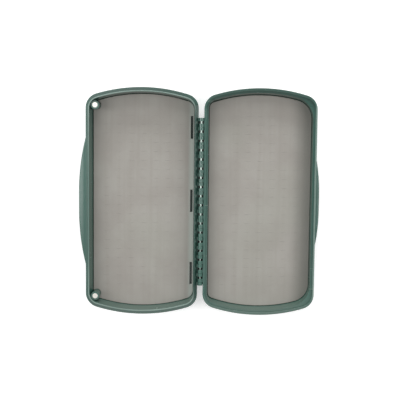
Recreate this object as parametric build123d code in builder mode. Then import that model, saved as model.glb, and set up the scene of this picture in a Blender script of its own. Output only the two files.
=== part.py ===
from build123d import *

import os

# Fly box: two shallow trays with bowed ends, joined along one long side by a
# pinned hinge and open flat.  Millimetres, +Z up.  The origin is the centre of
# the base tray's flat underside, the long sides run along Y, and the lid tray
# lies beyond the hinge on the +X side.  "upper" pieces are at the +Y end.

# Overall size of each half, and of the shut box
half_length = 184.0
half_width = 90.8
closed_thickness = 32.0
rim_gap = 0.3
end_radius = 126.0
corner_radius = 12.0

# Moulded walls
floor_thickness = 1.8
wall_draft = 2.2
back_round = 3.2
edge_round = 0.4

# Base rim: a ledge all round, bevelled along the hinge side, and a thin lip above it
ledge_free = 2.0
ledge_hinge = 2.3
ledge_end = 2.6
lip_thickness = 1.1
lip_height = 1.8
lip_round = 0.35
lip_clearance = 0.4
bevel_length = 156.0
bevel_depth = 1.6

# Lid rebate: the step that takes the base's lip when the box is shut
rebate_width = 1.5

# Foot of each tray's inner wall, measured in from the outer face
base_foot_free = 4.9
base_foot_hinge = 3.6
base_foot_end = 5.1
lid_foot_free = 3.3
lid_foot_hinge = 4.2
lid_foot_end = 5.3

# Corner rounds of the lid's inside, fuller at the free side to hold the magnets
lid_foot_round_free = 15.0
lid_foot_round_hinge = 5.0
lid_rebate_round_free = 18.0
lid_rebate_round_hinge = 8.0

# Narrow slots through the base's mat near its hinge side, over pockets in the floor
slot_count = 3
slot_length = 18.5
slot_width = 1.9
slot_inset = 5.5
slot_end_inset = 22.75
pocket_depth = 1.0

# Closure magnets: the base's in corner posts, the lid's capped in its thick corners
post_inset_x = 7.6
post_inset_y = 14.6
post_radius = 3.4
lid_magnet_inset_x = 5.0
lid_magnet_inset_y = 12.8
base_magnet_radius = 2.1
lid_magnet_radius = 1.4
magnet_thickness = 3.0
magnet_clearance = 0.03
magnet_recess = 0.1
cap_thickness = 0.5

# Slit mats and the sheets that stick them down
mat_thickness = 2.1
adhesive_thickness = 0.3
mat_clearance = 0.1

# Finger tabs on the free side
base_tab_length = 102.8
base_tab_flat = 16.0
base_tab_reach = 5.5
base_tab_fall = 1.0
lid_tab_length = 71.5
lid_tab_flat = 13.6
lid_tab_reach = 2.8
lid_tab_fall = 0.4
tab_thickness = 3.0
tab_root = 1.5
tab_round = 0.7
lid_tab_drop = 1.5

# Hinge: interleaved knuckles on one long pin, bare above each of the lid's knuckles
hinge_offset = 2.1
hinge_length = 135.6
knuckle_count = 37
knuckle_gap = 0.2
pin_window = 2.0
knuckle_clearance = 0.2
knuckle_web_drop = 3.6
knuckle_root = 0.8
pin_radius = 0.8
pin_fixed_clearance = 0.02
pin_running_clearance = 0.05
pin_end_recess = 0.5

# Strip behind the knuckles, on the base, that closes the view through the hinge
apron_thickness = 0.9
apron_clearance = 0.3

# Heights and places worked out from the sizes above
half_depth = (closed_thickness - rim_gap) / 2
axis_height = closed_thickness / 2
hinge_x = half_width / 2 + hinge_offset
lid_x = 2 * hinge_x
base_side = -1
lid_side = 1
post_x = base_side * (half_width / 2 - post_inset_x)
post_y = half_length / 2 - post_inset_y
lid_magnet_x = lid_x + lid_side * (half_width / 2 - lid_magnet_inset_x)
lid_magnet_y = half_length / 2 - lid_magnet_inset_y
knuckle_radius = hinge_offset - knuckle_clearance
lid_knuckle_count = (knuckle_count - 1) // 2
base_knuckle_count = knuckle_count - lid_knuckle_count
knuckle_length = (hinge_length - lid_knuckle_count * (pin_window + knuckle_gap)) / knuckle_count
knuckle_repeat = 2 * knuckle_length + pin_window + knuckle_gap
apron_top = axis_height - knuckle_web_drop - apron_clearance
apron_lean = wall_draft * (half_depth - apron_top) / half_depth
apron_reach = 2 * hinge_offset + apron_lean - apron_clearance
rebate_depth = lip_height + lip_clearance - rim_gap
slot_x = half_width / 2 - slot_inset
slot_pitch = (half_length - 2 * slot_end_inset - slot_length) / (slot_count - 1)
mat_bottom = floor_thickness + adhesive_thickness
base_magnet_top = half_depth - magnet_recess
rebate_floor = half_depth - rebate_depth
lid_magnet_top = rebate_floor - cap_thickness
lip_free = ledge_free + lip_thickness
lip_hinge = ledge_hinge + lip_thickness
lip_end = ledge_end + lip_thickness
lid_wall_free = ledge_free - lip_clearance
lid_wall_hinge = ledge_hinge - lip_clearance
lid_wall_end = ledge_end - lip_clearance
rebate_free = lid_wall_free + rebate_width
rebate_hinge = lid_wall_hinge + rebate_width
rebate_end = lid_wall_end + rebate_width
base_mat_free = base_foot_free + mat_clearance
base_mat_hinge = base_foot_hinge + mat_clearance
base_mat_end = base_foot_end + mat_clearance
lid_mat_free = lid_foot_free + mat_clearance
lid_mat_hinge = lid_foot_hinge + mat_clearance
lid_mat_end = lid_foot_end + mat_clearance
pin_plane = Plane((hinge_x, hinge_length / 2, axis_height), (1, 0, 0), (0, -1, 0))


def sharp_outline(free, hinge, ends, free_side):
    """Outline of one half about its own centre, drawn in by a margin at each side."""
    with BuildSketch(mode=Mode.PRIVATE) as sketch:
        with Locations((free_side * (hinge - free) / 2, 0)):
            Rectangle(half_width - free - hinge, half_length)
        for end in (1, -1):
            with Locations((0, end * (half_length / 2 - end_radius))):
                Circle(end_radius - ends, mode=Mode.INTERSECT)
    return sketch.sketch


def outline(free, hinge, ends, free_side):
    """The same outline with corners that follow the outer corners inwards."""
    with BuildSketch(mode=Mode.PRIVATE) as sketch:
        add(sharp_outline(free, hinge, ends, free_side))
        fillet(sketch.vertices(), corner_radius - (free + ends) / 2)
    return sketch.sketch


def lid_inside(free, hinge, ends, free_round, hinge_round):
    """Outline of the lid's inside, with its own rounds at the free and hinge sides."""
    with BuildSketch(mode=Mode.PRIVATE) as sketch:
        add(sharp_outline(free, hinge, ends, lid_side))
        fillet(sketch.vertices().sort_by(Axis.X)[:2], hinge_round)
        fillet(sketch.vertices().sort_by(Axis.X)[-2:], free_round)
    return sketch.sketch


def slot_outlines():
    """The row of narrow slots along the base's hinge side."""
    with BuildSketch(mode=Mode.PRIVATE) as sketch:
        with Locations((slot_x, 0)):
            with GridLocations(0, slot_pitch, 1, slot_count):
                Rectangle(slot_width, slot_length)
    return sketch.sketch


def tab_outline(length, flat, reach, free_side):
    """Finger tab seen from above: a short flat with a long arc to each side of it."""
    face_x = free_side * half_width / 2
    tip_x = face_x + free_side * reach
    root_x = face_x - free_side * tab_root
    flat_y = flat / 2
    end_y = length / 2
    with BuildSketch(mode=Mode.PRIVATE) as sketch:
        with BuildLine():
            Line((tip_x, -flat_y), (tip_x, flat_y))
            TangentArc((tip_x, flat_y), (face_x, end_y), tangent=(0, 1))
            Polyline((face_x, end_y), (root_x, end_y), (root_x, -end_y), (face_x, -end_y))
            TangentArc((tip_x, -flat_y), (face_x, -end_y), tangent=(0, -1))
        make_face()
    return sketch.sketch


def finger_tab(x, top, length, flat, reach, fall, free_side):
    """Finger tab with a crowned top and rounded edges, to be added to a tray's wall."""
    face_x = x + free_side * half_width / 2
    tip_x = face_x + free_side * reach
    root_x = face_x - free_side * tab_root
    bottom = top - tab_thickness
    tip_round = min(tab_round, 0.45 * (tab_thickness - fall))
    with BuildPart() as tab:
        with BuildSketch(Plane((x, 0, top))):
            add(tab_outline(length, flat, reach, free_side))
        extrude(amount=-tab_thickness)
        with BuildSketch(Plane.XZ):
            with BuildLine():
                TangentArc((root_x, top), (tip_x, top - fall), tangent=(free_side, 0))
                Polyline((tip_x, top - fall), (tip_x, bottom), (root_x, bottom), (root_x, top))
            make_face()
        extrude(amount=length, both=True, mode=Mode.INTERSECT)
        fillet(tab.edges().filter_by(lambda edge: is_outer(edge, face_x, free_side)), tip_round)
    return tab.part


def is_outer(edge, face_x, free_side):
    """True for a tab's long edges that lie outside the tray's face."""
    beyond = free_side * (edge.center().X - face_x)
    return beyond > 0 and edge.length > tab_thickness


def knuckle_planes(start, count):
    """Planes at the upper ends of one half's knuckles, looking along -Y."""
    planes = []
    for index in range(count):
        planes.append(pin_plane.offset(start + index * knuckle_repeat))
    return planes


def knuckle_profile(side):
    """Barrel of one knuckle and the web that joins it to its own half."""
    root_x = side * (hinge_offset + knuckle_root)
    with BuildSketch(mode=Mode.PRIVATE) as sketch:
        Circle(knuckle_radius)
        with BuildLine():
            Polyline(
                (0, -rim_gap / 2),
                (root_x, -rim_gap / 2),
                (root_x, -knuckle_web_drop),
                (0, -knuckle_radius),
                close=True,
            )
        make_face()
    return sketch.sketch


os.makedirs("parts", exist_ok=True)

# Finger tabs: the base's is flush with its ledge, the lid's sits below its rim
lid_tab_top = half_depth - lid_tab_drop
base_tab = finger_tab(
    0,
    half_depth,
    base_tab_length,
    base_tab_flat,
    base_tab_reach,
    base_tab_fall,
    base_side,
)
lid_tab = finger_tab(
    lid_x,
    lid_tab_top,
    lid_tab_length,
    lid_tab_flat,
    lid_tab_reach,
    lid_tab_fall,
    lid_side,
)

# Base tray
with BuildPart() as base_shell:
    with BuildSketch(Plane.XY):
        add(outline(wall_draft, wall_draft, wall_draft, base_side))
    with BuildSketch(Plane.XY.offset(half_depth)):
        add(outline(0, 0, 0, base_side))
    loft(ruled=True)
    fillet(base_shell.faces().sort_by(Axis.Z)[0].edges(), back_round)
    fillet(base_shell.faces().sort_by(Axis.Z)[-1].edges(), edge_round)
    add(base_tab)
    # Raised lip, then the drafted inside of the tray
    with BuildSketch(Plane.XY.offset(half_depth)):
        add(outline(ledge_free, ledge_hinge, ledge_end, base_side))
    extrude(amount=lip_height)
    with BuildSketch(Plane.XY.offset(floor_thickness)):
        add(outline(base_foot_free, base_foot_hinge, base_foot_end, base_side))
    with BuildSketch(Plane.XY.offset(half_depth + lip_height)):
        add(outline(lip_free, lip_hinge, lip_end, base_side))
    loft(ruled=True, mode=Mode.SUBTRACT)
    fillet(base_shell.faces().sort_by(Axis.Z)[-1].edges(), lip_round)
    # Bevel that turns the hinge side's ledge down towards the knuckles
    with BuildSketch(Plane.XZ):
        with BuildLine():
            Polyline(
                (half_width / 2 - ledge_hinge, half_depth),
                (half_width / 2 + ledge_hinge, half_depth),
                (half_width / 2 + ledge_hinge, half_depth - 2 * bevel_depth),
                close=True,
            )
        make_face()
    extrude(amount=bevel_length / 2, both=True, mode=Mode.SUBTRACT)
    # Pockets in the floor under the mat's slots
    with BuildSketch(Plane.XY.offset(floor_thickness)):
        add(slot_outlines())
    extrude(amount=-pocket_depth, mode=Mode.SUBTRACT)
    # Corner posts, bored for the magnets
    with BuildSketch(Plane.XY.offset(floor_thickness)):
        with Locations((post_x, post_y), (post_x, -post_y)):
            Circle(post_radius)
    extrude(amount=half_depth - floor_thickness)
    with Locations((post_x, post_y, half_depth), (post_x, -post_y, half_depth)):
        Hole(base_magnet_radius + magnet_clearance, magnet_recess + magnet_thickness)
    # Apron behind the knuckles, from inside the wall to just short of the lid's wall
    with BuildSketch(Plane.XZ):
        with Locations((half_width / 2 - ledge_hinge, apron_top)):
            Rectangle(ledge_hinge + apron_reach, apron_thickness, align=(Align.MIN, Align.MAX))
    extrude(amount=hinge_length / 2, both=True)
    # Knuckles, bored for the pin
    with BuildSketch(*knuckle_planes(0, base_knuckle_count)):
        add(knuckle_profile(base_side))
    extrude(amount=knuckle_length)
    with BuildSketch(pin_plane):
        Circle(pin_radius + pin_fixed_clearance)
    extrude(amount=hinge_length, mode=Mode.SUBTRACT)
base_shell.part.label = "base_shell"
export_step(base_shell.part, "parts/base_shell.step")

# Lid tray
with BuildPart() as lid_shell:
    with BuildSketch(Plane((lid_x, 0, 0))):
        add(outline(wall_draft, wall_draft, wall_draft, lid_side))
    with BuildSketch(Plane((lid_x, 0, half_depth))):
        add(outline(0, 0, 0, lid_side))
    loft(ruled=True)
    fillet(lid_shell.faces().sort_by(Axis.Z)[0].edges(), back_round)
    add(lid_tab)
    # Rebate for the base's lip, then the drafted inside of the tray
    with BuildSketch(Plane((lid_x, 0, half_depth))):
        add(outline(lid_wall_free, lid_wall_hinge, lid_wall_end, lid_side))
    extrude(amount=-rebate_depth, mode=Mode.SUBTRACT)
    with BuildSketch(Plane((lid_x, 0, floor_thickness))):
        add(
            lid_inside(
                lid_foot_free,
                lid_foot_hinge,
                lid_foot_end,
                lid_foot_round_free,
                lid_foot_round_hinge,
            )
        )
    with BuildSketch(Plane((lid_x, 0, rebate_floor))):
        add(
            lid_inside(
                rebate_free,
                rebate_hinge,
                rebate_end,
                lid_rebate_round_free,
                lid_rebate_round_hinge,
            )
        )
    loft(ruled=True, mode=Mode.SUBTRACT)
    fillet(lid_shell.faces().sort_by(Axis.Z)[-1].edges(), edge_round)
    # Bores for the magnets and their caps, down from the rebate at the thick corners
    with Locations(
        (lid_magnet_x, lid_magnet_y, rebate_floor),
        (lid_magnet_x, -lid_magnet_y, rebate_floor),
    ):
        Hole(lid_magnet_radius + magnet_clearance, cap_thickness + magnet_thickness)
    # Knuckles, bored for the pin
    with BuildSketch(*knuckle_planes(knuckle_length + pin_window, lid_knuckle_count)):
        add(knuckle_profile(lid_side))
    extrude(amount=knuckle_length)
    with BuildSketch(pin_plane):
        Circle(pin_radius + pin_running_clearance)
    extrude(amount=hinge_length, mode=Mode.SUBTRACT)
lid_shell.part.label = "lid_shell"
export_step(lid_shell.part, "parts/lid_shell.step")

# Hinge pin, held in the base's knuckles
with BuildPart() as hinge_pin:
    with BuildSketch(pin_plane.offset(pin_end_recess)):
        Circle(pin_radius)
    extrude(amount=hinge_length - 2 * pin_end_recess)
hinge_pin.part.label = "hinge_pin"
export_step(hinge_pin.part, "parts/hinge_pin.step")

# Slit mat of each half, and the adhesive sheet that sticks it down
for layer, bottom, thickness in (
    ("mat_adhesive", floor_thickness, adhesive_thickness),
    ("mat", mat_bottom, mat_thickness),
):
    with BuildPart() as base_sheet:
        with BuildSketch(Plane.XY.offset(bottom)):
            add(outline(base_mat_free, base_mat_hinge, base_mat_end, base_side))
            with Locations((post_x, post_y), (post_x, -post_y)):
                Circle(post_radius + mat_clearance, mode=Mode.SUBTRACT)
            add(slot_outlines(), mode=Mode.SUBTRACT)
        extrude(amount=thickness)
    base_sheet.part.label = f"base_{layer}"
    export_step(base_sheet.part, f"parts/base_{layer}.step")

    with BuildPart() as lid_sheet:
        with BuildSketch(Plane((lid_x, 0, bottom))):
            add(
                lid_inside(
                    lid_mat_free,
                    lid_mat_hinge,
                    lid_mat_end,
                    lid_foot_round_free,
                    lid_foot_round_hinge,
                )
            )
        extrude(amount=thickness)
    lid_sheet.part.label = f"lid_{layer}"
    export_step(lid_sheet.part, f"parts/lid_{layer}.step")

# Closure magnets in the corner posts, and the caps that hide the lid's pair
for end_name, end in (("upper", 1), ("lower", -1)):
    with BuildPart() as base_magnet:
        with BuildSketch(Plane((post_x, end * post_y, base_magnet_top))):
            Circle(base_magnet_radius)
        extrude(amount=-magnet_thickness)
    base_magnet.part.label = f"base_magnet_{end_name}"
    export_step(base_magnet.part, f"parts/base_magnet_{end_name}.step")

    with BuildPart() as lid_magnet:
        with BuildSketch(Plane((lid_magnet_x, end * lid_magnet_y, lid_magnet_top))):
            Circle(lid_magnet_radius)
        extrude(amount=-magnet_thickness)
    lid_magnet.part.label = f"lid_magnet_{end_name}"
    export_step(lid_magnet.part, f"parts/lid_magnet_{end_name}.step")

    with BuildPart() as magnet_cap:
        with BuildSketch(Plane((lid_magnet_x, end * lid_magnet_y, lid_magnet_top))):
            Circle(lid_magnet_radius)
        extrude(amount=cap_thickness)
    magnet_cap.part.label = f"lid_magnet_cap_{end_name}"
    export_step(magnet_cap.part, f"parts/lid_magnet_cap_{end_name}.step")
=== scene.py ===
import math

import bmesh
import bpy
from mathutils import Matrix, Vector
from mathutils.geometry import tessellate_polygon


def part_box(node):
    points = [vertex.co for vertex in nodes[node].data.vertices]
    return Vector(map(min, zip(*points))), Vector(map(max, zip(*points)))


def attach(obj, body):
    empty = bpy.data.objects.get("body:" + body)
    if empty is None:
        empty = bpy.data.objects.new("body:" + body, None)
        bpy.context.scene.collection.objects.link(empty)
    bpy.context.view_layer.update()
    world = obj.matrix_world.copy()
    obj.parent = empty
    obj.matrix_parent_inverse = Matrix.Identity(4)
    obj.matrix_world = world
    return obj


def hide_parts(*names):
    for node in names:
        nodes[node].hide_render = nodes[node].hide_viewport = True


# A fly box, open flat.  The moulded shells, caps, adhesive, pin and magnets keep the packed
# shapes and get their finishes here.  The two slit mats are made here, in place of the plain ones.
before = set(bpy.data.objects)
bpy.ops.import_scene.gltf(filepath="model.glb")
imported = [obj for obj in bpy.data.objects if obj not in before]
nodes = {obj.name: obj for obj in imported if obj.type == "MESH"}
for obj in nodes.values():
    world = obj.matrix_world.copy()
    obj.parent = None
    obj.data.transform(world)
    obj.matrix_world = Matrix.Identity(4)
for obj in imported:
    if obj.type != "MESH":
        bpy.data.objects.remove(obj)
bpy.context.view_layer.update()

MM = 0.001


def mm(*lengths):
    """Lengths in millimetres, as metres."""
    return tuple(length * MM for length in lengths)


# Slits of both mats
slit_columns = 7
slit_rows = 20
slit_pitch_across = 10.0 * MM
slit_pitch_along = 7.3 * MM
slit_length = 5.6 * MM
slit_opening = 0.06 * MM
slit_depth = 1.3 * MM
slit_lip_width = 0.55 * MM
slit_lip_height = 0.03 * MM
slit_bottom_opening = 0.02 * MM
slit_sections = 6

# Shares: of a slit's opening, lip width and lip height that is left at its two ends, and of
# its length that is left at its bottom
slit_end_opening = 0.02
slit_end_lip_width = 0.35
slit_end_lip_height = 0.3
slit_bottom_length = 0.96

# Rounded edges of both mats
mat_edge_round = 0.3 * MM
mat_edge_steps = 4

# Corners of a packed mat within the first distance are one, and so are points of a slit mat
# within the second
same_corner = 0.001 * MM
weld_distance = 0.004 * MM

# Twice the area in square metres below which a triangle is left out
least_turn = 1e-13

# Upward share of the normal above which a face is level
level_normal = 0.99

# Least lean of a corner, so that a sharp one isn't drawn in too far
least_lean = 0.5

# Corners of a square, anticlockwise
square_corners = [(-1, -1), (1, -1), (1, 1), (-1, 1)]

# Zones of the finishes, measured across the box, up, or from its middle towards both ends.
# A pair is where a zone begins and where it is full.  A pair named for a top or for ends is
# where it begins to fade and where it is gone.  Four values are both pairs.
end_shading_split_along = mm(-20.0, 20.0)
end_shading_from_middle = mm(74.0, 90.0)
lip_highlight_up = mm(17.4, 17.58)
lip_highlight_from_middle = mm(30.0, 85.0)
lip_no_highlight_across = mm(30.0, 40.0)
lip_no_highlight_ends = mm(66.0, 78.0)
free_rim_highlight_across = mm(138.6, 139.3)
free_rim_highlight_up = mm(15.5, 15.7)
pocket_shade_across = mm(37.5, 38.5, 41.5, 42.5)
pocket_shade_up = mm(0.3, 0.6, 1.9, 2.2)
valley_shade_across = mm(45.4, 46.0, 49.0, 49.4)
valley_shade_top = mm(13.2, 14.0)
hinge_ledge_shade_across = mm(40.5, 42.5, 45.5, 46.0)
hinge_ledge_shade_up = mm(11.0, 13.0)
hinge_ledge_shade_ends = mm(72.0, 86.0)
free_side_shade_across = mm(118.0, 134.0)
hinge_side_bounce_across = mm(36.5, 39.5, 43.0, 45.0)

# Floor and room
floor_side = 6.0
floor_level = -0.05 * MM
floor_glow = 0.42
room_brightness = 0.34

# Camera: its place, its turns in degrees and its lens in millimetres
camera_place = (0.0469, 0.0670, 0.71265)
camera_tilt = 5.34
camera_roll = -0.59
camera_sensor = 36.0
camera_lens = 78.1


# ---------------------------------------------------------------- shader helpers


class Link:
    """A socket's value in a finish, so that shader maths reads as plain arithmetic."""

    def __init__(self, finish, socket):
        self.finish = finish
        self.socket = socket

    def maths(self, operation, first, second):
        return self.finish.add("ShaderNodeMath", {"operation": operation}, {0: first, 1: second})

    def __add__(self, other):
        return self.maths("ADD", self, other)

    def __radd__(self, other):
        return self.maths("ADD", other, self)

    def __rsub__(self, other):
        return self.maths("SUBTRACT", other, self)

    def __mul__(self, other):
        return self.maths("MULTIPLY", self, other)

    def __rmul__(self, other):
        return self.maths("MULTIPLY", other, self)


class Finish:
    """A procedural material, built node by node round one Principled surface."""

    def __init__(self, name, **surface):
        self.material = bpy.data.materials.new(name)
        self.material.use_nodes = True
        self.nodes = self.material.node_tree.nodes
        self.links = self.material.node_tree.links
        self.shader = next(node for node in self.nodes if node.type == "BSDF_PRINCIPLED")
        for socket, value in surface.items():
            self.shader.inputs[socket.replace("_", " ")].default_value = value
        self.place = self.add("ShaderNodeTexCoord", output="Object")

    def add(self, kind, settings=None, sockets=None, output=0):
        """One node: its settings first, then the values or links of its sockets."""
        node = self.nodes.new(kind)
        for name, value in (settings or {}).items():
            setattr(node, name, value)
        for name, value in (sockets or {}).items():
            self.put(node.inputs[name], value)
        return Link(self, node.outputs[output])

    def put(self, socket, value):
        if isinstance(value, Link):
            self.links.new(value.socket, socket)
        else:
            socket.default_value = value

    def feed(self, name, value):
        self.put(self.shader.inputs[name], value)

    def axis(self, index):
        """One of the object coordinates: 0 across, 1 along, 2 up."""
        return self.add("ShaderNodeSeparateXYZ", {}, {0: self.place}, output=index)

    def stretched(self, scale, turn=(0.0, 0.0, 0.0)):
        """Object coordinates, scaled per axis and turned."""
        return self.add(
            "ShaderNodeMapping",
            {"vector_type": "POINT"},
            {"Vector": self.place, "Rotation": turn, "Scale": scale},
        )

    def noise(self, scale, detail=2.0, roughness=0.5, vector=None):
        return self.add(
            "ShaderNodeTexNoise",
            {},
            {
                "Vector": vector or self.place,
                "Scale": scale,
                "Detail": detail,
                "Roughness": roughness,
            },
        )

    def spread(self, value, low, high, to_low=0.0, to_high=1.0):
        """Value taken from one range to another and held at its ends, with a soft start."""
        return self.add(
            "ShaderNodeMapRange",
            {"interpolation_type": "SMOOTHSTEP", "clamp": True},
            {
                "Value": value,
                "From Min": low,
                "From Max": high,
                "To Min": to_low,
                "To Max": to_high,
            },
        )

    def fade(self, value, full, end, most=1.0):
        """The most up to one value and nothing past another."""
        return self.spread(value, full, end, most, 0.0)

    def band(self, value, start, full, fading, end):
        """One between the middle two values and nothing outside the other two."""
        return self.spread(value, start, full) * self.fade(value, fading, end)

    def mix(self, share, first, second):
        """Colour between two colours."""
        return self.add(
            "ShaderNodeMix",
            {"data_type": "RGBA"},
            {0: share, 6: first, 7: second},
            output=2,
        )

    def bump(self, height, strength, distance, below=None):
        sockets = {"Height": height, "Strength": strength, "Distance": distance}
        if below is not None:
            sockets["Normal"] = below
        return self.add("ShaderNodeBump", {}, sockets)


def paint(red, green, blue):
    """Colour from screen values of 0 to 255."""
    levels = []
    for value in (red, green, blue):
        share = value / 255
        if share <= 0.04045:
            levels.append(share / 12.92)
        else:
            levels.append(((share + 0.055) / 1.055) ** 2.4)
    return (*levels, 1.0)


# ---------------------------------------------------------------------- finishes


def moulded_plastic():
    """Grey-green moulded plastic: satin, finely grained, a little cloudy and scuffed.

    Towards both ends it has painted light: a paler painted sheen at the lower end and painted
    shade at the upper end.  The base's lip and the lid's free rim carry painted highlights along
    their crowns.  The pockets under the slots, the valley under the knuckles and the ledge beside
    them have painted shade.
    """
    finish = Finish("moulded_plastic", IOR=1.58)
    across = finish.axis(0)
    along = finish.axis(1)
    height = finish.axis(2)
    from_middle = finish.add("ShaderNodeMath", {"operation": "ABSOLUTE"}, {0: along})

    deep_green = paint(52, 88, 78)
    mid_green = paint(61, 97, 87)
    flow_green = paint(69, 105, 95)
    speck_green = paint(84, 114, 104)
    cloud = finish.noise(26.0, detail=3.0)
    flow = finish.noise(1.0, detail=3.0, vector=finish.stretched((170.0, 11.0, 60.0)))
    speck = finish.noise(900.0, detail=1.0)
    tone = finish.mix(finish.spread(cloud, 0.32, 0.68), deep_green, mid_green)
    tone = finish.mix(finish.spread(flow, 0.5, 0.75, to_high=0.3), tone, flow_green)
    tone = finish.mix(finish.spread(speck, 0.6, 0.8, to_high=0.2), tone, speck_green)

    scratch_green = paint(112, 130, 121)
    scratch_run = finish.stretched((60.0, 420.0, 60.0), turn=(0.0, 0.0, 0.5))
    scratch = finish.noise(1.0, detail=4.0, roughness=0.6, vector=scratch_run)
    patch = finish.noise(38.0, detail=1.0)
    rubbed = finish.spread(scratch, 0.635, 0.665) * finish.spread(patch, 0.5, 0.62)
    tone = finish.mix(rubbed * 0.35, tone, scratch_green)

    # Painted light: the lower end is painted paler in place of a sheen of light on it, and the upper
    # end darker in place of shade
    lower_end_painted_sheen = paint(88, 106, 98)
    upper_end_painted_shade = paint(60, 80, 73)
    end_painted_sheen_and_shade = finish.mix(finish.spread(along, *end_shading_split_along), lower_end_painted_sheen, upper_end_painted_shade)
    tone = finish.mix(finish.spread(from_middle, *end_shading_from_middle, to_high=0.7), tone, end_painted_sheen_and_shade)

    # Painted highlight: the crown of the base's lip is painted paler, most towards the ends and not
    # beside the hinge, in place of a glint off its rounded edge
    painted_highlight_green = paint(122, 142, 134)
    lip_crown_highlight = finish.spread(height, *lip_highlight_up) * finish.spread(cloud, 0.3, 0.6, to_low=0.7)
    highlight_towards_ends = finish.spread(from_middle, *lip_highlight_from_middle, to_low=0.25, to_high=0.9)
    no_highlight_by_hinge = finish.spread(across, *lip_no_highlight_across) * finish.fade(from_middle, *lip_no_highlight_ends)
    tone = finish.mix(lip_crown_highlight * highlight_towards_ends * (1 - no_highlight_by_hinge), tone, painted_highlight_green)
    # Painted highlight: a bright line painted along the outer edge of the lid's free rim
    free_rim_highlight = finish.spread(across, *free_rim_highlight_across) * finish.spread(height, *free_rim_highlight_up)
    tone = finish.mix(free_rim_highlight * 0.6, tone, painted_highlight_green)

    pocket_painted_shade = paint(6, 48, 38)
    valley_painted_shade = paint(6, 40, 31)
    hinge_ledge_painted_shade = paint(24, 52, 44)
    # Painted shade: near-black green painted in the pockets under the slots
    pocket_shade = finish.band(across, *pocket_shade_across) * finish.band(height, *pocket_shade_up)
    tone = finish.mix(pocket_shade, tone, pocket_painted_shade)
    # Painted shade: the valley under the knuckles is painted near-black green
    valley_shade = finish.band(across, *valley_shade_across) * finish.fade(height, *valley_shade_top)
    tone = finish.mix(valley_shade, tone, valley_painted_shade)
    # Painted shade: the base's ledge and lip beside the hinge are painted darker, fading towards the
    # ends
    hinge_ledge_shade = finish.band(across, *hinge_ledge_shade_across) * finish.spread(height, *hinge_ledge_shade_up)
    hinge_ledge_shade_share = hinge_ledge_shade * finish.fade(from_middle, *hinge_ledge_shade_ends, most=0.6)
    tone = finish.mix(hinge_ledge_shade_share, tone, hinge_ledge_painted_shade)

    finish.feed("Base Color", tone)
    finish.feed("Roughness", 0.17 + 0.08 * cloud + 0.1 * rubbed)
    grain = finish.noise(2600.0, detail=1.5, roughness=0.6)
    waviness = finish.noise(90.0, detail=1.0)
    coarse = finish.bump(waviness, strength=0.1, distance=0.3 * MM)
    fine = finish.bump(grain, strength=0.12, distance=0.04 * MM, below=coarse)
    finish.feed("Normal", fine)
    return finish.material


def slit_silicone():
    """Warm grey silicone: matt, faintly streaked along the mat and mottled.

    It has painted shade along the lid's free side, and painted light reflected from the green wall
    along the base's hinge side.
    """
    finish = Finish("slit_silicone", IOR=1.41, Specular_IOR_Level=0.35, Sheen_Weight=0.08)
    across = finish.axis(0)

    warm_grey = paint(151, 147, 141)
    pale_grey = paint(159, 156, 150)
    streak_grey = paint(145, 141, 134)
    green_grey = paint(153, 155, 145)
    mottle = finish.noise(34.0, detail=3.0, roughness=0.55)
    streak = finish.noise(1.0, detail=2.0, vector=finish.stretched((240.0, 9.0, 40.0)))
    tint = finish.noise(14.0, detail=1.0)
    tone = finish.mix(finish.spread(mottle, 0.3, 0.7), warm_grey, pale_grey)
    tone = finish.mix(finish.spread(streak, 0.42, 0.72, to_high=0.3), tone, streak_grey)
    tone = finish.mix(finish.spread(tint, 0.5, 0.7, to_high=0.25), tone, green_grey)

    free_side_painted_shade = paint(104, 105, 99)
    hinge_side_painted_bounce = paint(172, 182, 175)
    lint_grey = paint(180, 177, 171)
    # Painted shade: the lid mat darkens towards its free side, in place of the wall's shadow
    tone = finish.mix(finish.spread(across, *free_side_shade_across, to_high=0.6), tone, free_side_painted_shade)
    # Painted reflection: a pale green-grey strip along the base's hinge side, in place of light
    # bounced off the green wall
    tone = finish.mix(finish.band(across, *hinge_side_bounce_across) * 0.6, tone, hinge_side_painted_bounce)
    lint = finish.noise(1400.0, detail=1.0)
    tone = finish.mix(finish.spread(lint, 0.68, 0.78, to_high=0.25), tone, lint_grey)

    finish.feed("Base Color", tone)
    finish.feed("Roughness", 0.62 + 0.16 * mottle)
    skin = finish.noise(3200.0, detail=2.0, roughness=0.65)
    finish.feed("Normal", finish.bump(skin, strength=0.25, distance=0.05 * MM))
    return finish.material


def clear_adhesive():
    """Film of clear-grey adhesive, seen only as a line under the mats' edges."""
    finish = Finish("clear_adhesive", IOR=1.47)
    cloud = finish.noise(120.0, detail=2.0)
    tone = finish.mix(finish.spread(cloud, 0.3, 0.7), paint(150, 150, 142), paint(172, 172, 163))
    finish.feed("Base Color", tone)
    finish.feed("Roughness", 0.3 + 0.25 * cloud)
    ripple = finish.noise(700.0, detail=1.0)
    finish.feed("Normal", finish.bump(ripple, strength=0.2, distance=0.05 * MM))
    return finish.material


def drawn_steel():
    """Dulled drawn wire, with fine lines along it."""
    finish = Finish("drawn_steel", Metallic=1.0)
    lines = finish.noise(1.0, detail=2.0, vector=finish.stretched((6000.0, 60.0, 6000.0)))
    tone = finish.mix(finish.spread(lines, 0.3, 0.7), paint(136, 150, 144), paint(162, 174, 168))
    finish.feed("Base Color", tone)
    finish.feed("Roughness", 0.12 + 0.1 * lines)
    finish.feed("Normal", finish.bump(lines, strength=0.15, distance=0.02 * MM))
    return finish.material


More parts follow.
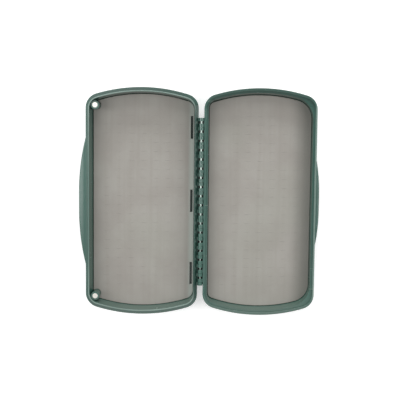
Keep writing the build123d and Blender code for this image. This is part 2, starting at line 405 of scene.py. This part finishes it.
def plated_nickel():
    """Bright nickel plate on the magnets, slightly rippled and spotted."""
    finish = Finish("plated_nickel", Metallic=1.0)
    ripple = finish.noise(480.0, detail=2.0)
    spots = finish.spread(finish.noise(2200.0, detail=1.0), 0.62, 0.74)
    tone = finish.mix(spots * 0.5, paint(228, 226, 218), paint(190, 186, 174))
    finish.feed("Base Color", tone)
    finish.feed("Roughness", 0.16 + 0.1 * ripple + 0.2 * spots)
    finish.feed("Normal", finish.bump(ripple, strength=0.1, distance=0.05 * MM))
    return finish.material


def pale_floor():
    """Seamless white paper, which glows a little so that it stays pale round the box."""
    glow = (1.0, 1.0, 1.0, 1.0)
    finish = Finish("white_paper", Roughness=0.9, Emission_Color=glow, Emission_Strength=floor_glow)
    fibre = finish.noise(420.0, detail=2.0)
    tone = finish.mix(fibre, paint(236, 236, 236), paint(242, 242, 241))
    finish.feed("Base Color", tone)
    return finish.material


def dress(node, material):
    """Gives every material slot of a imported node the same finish."""
    for index in range(len(nodes[node].data.materials)):
        nodes[node].data.materials[index] = material


plastic = moulded_plastic()
for node in ("base_shell", "lid_shell", "lid_magnet_cap_upper", "lid_magnet_cap_lower"):
    dress(node, plastic)
adhesive = clear_adhesive()
for node in ("base_mat_adhesive", "lid_mat_adhesive"):
    dress(node, adhesive)
dress("hinge_pin", drawn_steel())
nickel = plated_nickel()
for half in ("base", "lid"):
    for end in ("upper", "lower"):
        dress(f"{half}_magnet_{end}", nickel)


# --------------------------------------------------------------------- slit mats


def as_mesh(shape, name):
    """A new mesh of a bmesh shape, which is freed."""
    mesh = bpy.data.meshes.new(name)
    shape.to_mesh(mesh)
    shape.free()
    return mesh


def make_object(name, data):
    """An object of a mesh, light or camera, linked into the scene."""
    thing = bpy.data.objects.new(name, data)
    bpy.context.scene.collection.objects.link(thing)
    return thing


def mat_outlines(node):
    """Corners of a packed mat's top, in order, as flat points: its outside, then its slots."""
    shape = bmesh.new()
    shape.from_mesh(nodes[node].data)
    bmesh.ops.remove_doubles(shape, verts=shape.verts, dist=same_corner)
    shape.edges.index_update()
    top = max(vertex.co.z for vertex in shape.verts)
    level = [face for face in shape.faces if min(v.co.z for v in face.verts) > top - same_corner]
    rim = {edge for face in level for edge in face.edges}
    rim = {edge for edge in rim if sum(face in level for face in edge.link_faces) == 1}
    loops = []
    while rim:
        start = min(rim, key=lambda edge: edge.index)
        rim.remove(start)
        loop = [start.verts[0], start.verts[1]]
        while loop[-1] is not loop[0]:
            edge = next(edge for edge in loop[-1].link_edges if edge in rim)
            rim.remove(edge)
            loop.append(edge.other_vert(loop[-1]))
        loops.append([Vector((vertex.co.x, vertex.co.y)) for vertex in loop[:-1]])
    shape.free()
    loops.sort(key=lambda points: abs(turned_area(points)), reverse=True)
    outside, slots = loops[0], loops[1:]
    if turned_area(outside) < 0:
        outside.reverse()
    for slot in slots:
        if turned_area(slot) > 0:
            slot.reverse()
    return outside, slots


def turned_area(points):
    """Area inside a loop of flat points: above zero where it runs anticlockwise."""
    return sum(a.cross(b) for a, b in zip(points, points[1:] + points[:1])) / 2


def drawn_in(points, margin):
    """A loop moved to its left by a margin, point by point, which is into the mat."""
    moved = []
    for before, point, after in zip(points[-1:] + points[:-1], points, points[1:] + points[:1]):
        first = (point - before).normalized()
        second = (after - point).normalized()
        inward = Vector((-first.y - second.y, first.x + second.x)).normalized()
        lean = max(least_lean, inward.dot(Vector((-first.y, first.x))))
        moved.append(point + inward * (margin / lean))
    return moved


def slit_place(ring, side, share):
    """A point of a slit cell: on its edge, its lip's foot or crown, or the slit's bottom.

    Side is 1 or -1, and share goes from -1 at one end of the slit to 1 at the other.
    """
    half = slit_length / 2
    lens = 1 - share * share
    if ring == "edge":
        return Vector((share * slit_pitch_across / 2, side * slit_pitch_along / 2, 0.0))
    if ring == "foot":
        reach = slit_end_lip_width + (1 - slit_end_lip_width) * lens
        return Vector((share * (half + slit_lip_width), side * slit_lip_width * reach, 0.0))
    if ring == "crown":
        rise = slit_end_lip_height + (1 - slit_end_lip_height) * lens
        gap = slit_opening / 2 * (lens + slit_end_opening)
        return Vector((share * half, side * gap, slit_lip_height * rise))
    return Vector((share * half * slit_bottom_length, side * slit_bottom_opening / 2, -slit_depth))


def slit_cell():
    """One cell of a mat: a flat with a fine slit across it, its lips slightly raised."""
    shape = bmesh.new()
    rings = []
    for name in ("edge", "foot", "crown", "bottom"):
        ring = []
        for side in (1, -1):
            for step in range(slit_sections + 1):
                share = side * (1 - 2 * step / slit_sections)
                ring.append(shape.verts.new(slit_place(name, side, share)))
        rings.append(ring)
    for outer, inner in zip(rings, rings[1:]):
        for a in range(len(outer)):
            b = (a + 1) % len(outer)
            shape.faces.new((outer[b], outer[a], inner[a], inner[b]))
    shape.faces.new(list(reversed(rings[-1])))
    bmesh.ops.recalc_face_normals(shape, faces=shape.faces)
    level = next(face for face in shape.faces if abs(face.normal.z) > level_normal)
    if level.normal.z < 0:
        bmesh.ops.reverse_faces(shape, faces=shape.faces)
    return as_mesh(shape, "slit_cell")


def fill_flat(shape, loops, facing):
    """Fills a level region between its outside and its holes, facing up or down."""
    corners = [vertex for loop in loops for vertex in loop]
    for triangle in tessellate_polygon([[vertex.co for vertex in loop] for loop in loops]):
        first, second, third = (corners[index] for index in triangle)
        turn = (second.co - first.co).cross(third.co - first.co).z
        if abs(turn) >= least_turn:
            upward = turn * facing > 0
            shape.faces.new((first, second, third) if upward else (first, third, second))


def window_points(centre):
    """Points round the slit cells of a mat, one where each cell's edge has one."""
    half_across = slit_columns * slit_pitch_across / 2
    half_along = slit_rows * slit_pitch_along / 2
    points = []
    for (x0, y0), (x1, y1) in zip(square_corners, square_corners[1:] + square_corners[:1]):
        steps = slit_columns * slit_sections if y0 == y1 else slit_rows
        for step in range(steps):
            share = step / steps
            x = centre.x + half_across * (x0 + (x1 - x0) * share)
            y = centre.y + half_along * (y0 + (y1 - y0) * share)
            points.append(Vector((x, y)))
    return points


def mat_blank(name, node):
    """The mat's sheet with rounded edges, its slots, and an open window for the slit cells."""
    low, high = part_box(node)
    centre = (low + high) / 2
    outside, slots = mat_outlines(node)
    levels = [(0.0, low.z)]
    for step in range(mat_edge_steps + 1):
        angle = math.pi / 2 * step / mat_edge_steps
        inset = mat_edge_round * (1 - math.cos(angle))
        levels.append((inset, high.z - mat_edge_round * (1 - math.sin(angle))))
    shape = bmesh.new()
    tops = []
    bottoms = []
    for loop in [outside, *slots]:
        rings = []
        for inset, height in levels:
            ring = drawn_in(loop, inset) if inset > 0 else loop
            rings.append([shape.verts.new((point.x, point.y, height)) for point in ring])
        for lower, upper in zip(rings, rings[1:]):
            for a in range(len(lower)):
                b = (a + 1) % len(lower)
                shape.faces.new((lower[a], lower[b], upper[b], upper[a]))
        tops.append(rings[-1])
        bottoms.append(rings[0])
    tops.append([shape.verts.new((point.x, point.y, high.z)) for point in window_points(centre)])
    fill_flat(shape, tops, 1)
    fill_flat(shape, bottoms, -1)
    return as_mesh(shape, name), Vector((centre.x, centre.y, high.z))


def slit_field_tree(material):
    """Geometry nodes that set slit cells out on a grid in a mat's window and weld them in."""
    tree = bpy.data.node_groups.new("slit_field", "GeometryNodeTree")
    interface = tree.interface
    interface.new_socket("Blank", in_out="INPUT", socket_type="NodeSocketGeometry")
    sockets = {}
    for name, kind in (
        ("Cell", "NodeSocketObject"),
        ("Columns", "NodeSocketInt"),
        ("Rows", "NodeSocketInt"),
        ("Pitch Across", "NodeSocketFloat"),
        ("Pitch Along", "NodeSocketFloat"),
        ("Centre", "NodeSocketVector"),
    ):
        sockets[name] = interface.new_socket(name, in_out="INPUT", socket_type=kind).identifier
    interface.new_socket("Mat", in_out="OUTPUT", socket_type="NodeSocketGeometry")

    def step(kind, settings=None, **inputs):
        node = tree.nodes.new(kind)
        for name, value in (settings or {}).items():
            setattr(node, name, value)
        for name, value in inputs.items():
            socket = node.inputs[name.replace("_", " ")]
            if isinstance(value, bpy.types.NodeSocket):
                tree.links.new(value, socket)
            else:
                socket.default_value = value
        return node

    given = tree.nodes.new("NodeGroupInput").outputs

    def times(first, second):
        product = step("ShaderNodeMath", {"operation": "MULTIPLY"})
        tree.links.new(first, product.inputs[0])
        tree.links.new(second, product.inputs[1])
        return product.outputs[0]

    def minus_one(count):
        node = step("ShaderNodeMath", {"operation": "SUBTRACT"})
        tree.links.new(count, node.inputs[0])
        node.inputs[1].default_value = 1.0
        return node.outputs[0]

    grid = step(
        "GeometryNodeMeshGrid",
        Size_X=times(minus_one(given["Columns"]), given["Pitch Across"]),
        Size_Y=times(minus_one(given["Rows"]), given["Pitch Along"]),
        Vertices_X=given["Columns"],
        Vertices_Y=given["Rows"],
    )
    cell = step("GeometryNodeObjectInfo", {"transform_space": "ORIGINAL"}, Object=given["Cell"])
    cells = step(
        "GeometryNodeInstanceOnPoints",
        Points=grid.outputs["Mesh"],
        Instance=cell.outputs["Geometry"],
    )
    moved = step(
        "GeometryNodeTransform",
        Geometry=cells.outputs["Instances"],
        Translation=given["Centre"],
    )
    real = step("GeometryNodeRealizeInstances", Geometry=moved.outputs["Geometry"])
    joined = tree.nodes.new("GeometryNodeJoinGeometry")
    tree.links.new(real.outputs["Geometry"], joined.inputs[0])
    tree.links.new(given["Blank"], joined.inputs[0])
    welded = step(
        "GeometryNodeMergeByDistance",
        Geometry=joined.outputs["Geometry"],
        Distance=weld_distance,
    )
    crisp = step(
        "GeometryNodeSetShadeSmooth",
        Geometry=welded.outputs["Geometry"],
        Shade_Smooth=False,
    )
    finished = step(
        "GeometryNodeSetMaterial",
        Geometry=crisp.outputs["Geometry"],
        Material=material,
    )
    tree.links.new(finished.outputs["Geometry"], tree.nodes.new("NodeGroupOutput").inputs[0])
    return tree, sockets


silicone = slit_silicone()
cell = make_object("slit_cell", slit_cell())
field_tree, field_sockets = slit_field_tree(silicone)
for name, node, body in (
    ("base_slit_mat", "base_mat", "base"),
    ("lid_slit_mat", "lid_mat", "lid"),
):
    blank, centre = mat_blank(name, node)
    mat = make_object(name, blank)
    modifier = mat.modifiers.new("slit field", "NODES")
    modifier.node_group = field_tree
    for socket, value in (
        ("Cell", cell),
        ("Columns", slit_columns),
        ("Rows", slit_rows),
        ("Pitch Across", slit_pitch_across),
        ("Pitch Along", slit_pitch_along),
        ("Centre", centre),
    ):
        modifier[field_sockets[socket]] = value
    bpy.context.view_layer.update()
    evaluated = mat.evaluated_get(bpy.context.evaluated_depsgraph_get())
    slit_mesh = bpy.data.meshes.new_from_object(evaluated)
    mat.modifiers.clear()
    mat.data = slit_mesh
    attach(mat, body)
    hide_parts(node)
bpy.data.objects.remove(cell)


# ---------------------------------------------------------- floor, lights, camera


def level_square(name, side, level):
    """A level square sheet, centred over the origin."""
    shape = bmesh.new()
    half = side / 2
    shape.faces.new([shape.verts.new((x * half, y * half, level)) for x, y in square_corners])
    return as_mesh(shape, name)


floor = make_object("paper_floor", level_square("paper_floor", floor_side, floor_level))
floor.data.materials.append(pale_floor())


def softbox(name, place, aim, width, depth, brightness):
    """Area light of a given brightness, aimed at a point."""
    light = bpy.data.lights.new(name, "AREA")
    light.shape = "RECTANGLE"
    light.size = width
    light.size_y = depth
    light.energy = brightness * math.pi * width * depth
    lamp = make_object(name, light)
    lamp.location = place
    lamp.rotation_euler = (Vector(aim) - Vector(place)).to_track_quat("-Z", "Y").to_euler()


# Name, place, aim, width, depth and brightness of each softbox.  The one overhead shines
# straight down, and the others are aimed at the hinge, towards its far end.
light_aim = (0.0475, 0.067, 0.01)
for row in (
    ("far_softbox", (0.0475, 1.0, 0.9), light_aim, 1.2, 0.5, 1.8),
    ("far_low_softbox", (0.0475, 1.2, 0.4), light_aim, 1.2, 0.4, 7.0),
    ("left_softbox", (-0.85, 0.067, 0.85), light_aim, 0.5, 1.0, 3.6),
    ("right_softbox", (0.95, 0.067, 0.85), light_aim, 0.5, 1.0, 2.8),
    ("left_overhead_softbox", (-0.19, 0.04, 1.2), (-0.19, 0.04, 0.0), 0.3, 0.45, 1.4),
    ("near_softbox", (0.0475, -0.35, 1.1), light_aim, 1.0, 0.35, 0.65),
    ("near_low_softbox", (0.0475, -1.0, 0.35), light_aim, 1.2, 0.4, 1.0),
):
    softbox(*row)

world = bpy.data.worlds.new("pale_room")
bpy.context.scene.world = world
world.use_nodes = True
world.node_tree.nodes["Background"].inputs["Color"].default_value = (1.0, 1.0, 1.0, 1.0)
world.node_tree.nodes["Background"].inputs["Strength"].default_value = room_brightness

camera_data = bpy.data.cameras.new("camera")
camera_data.sensor_width = camera_sensor
camera_data.lens = camera_lens
camera_data.clip_start = 0.01
camera_data.clip_end = 20.0
camera = make_object("camera", camera_data)
roll = Matrix.Rotation(math.radians(camera_roll), 4, "Z")
tilt = Matrix.Rotation(math.radians(camera_tilt), 4, "X")
camera.matrix_world = Matrix.Translation(camera_place) @ (roll @ tilt).inverted()
bpy.context.scene.camera = camera
bpy.context.scene.view_settings.view_transform = "Standard"
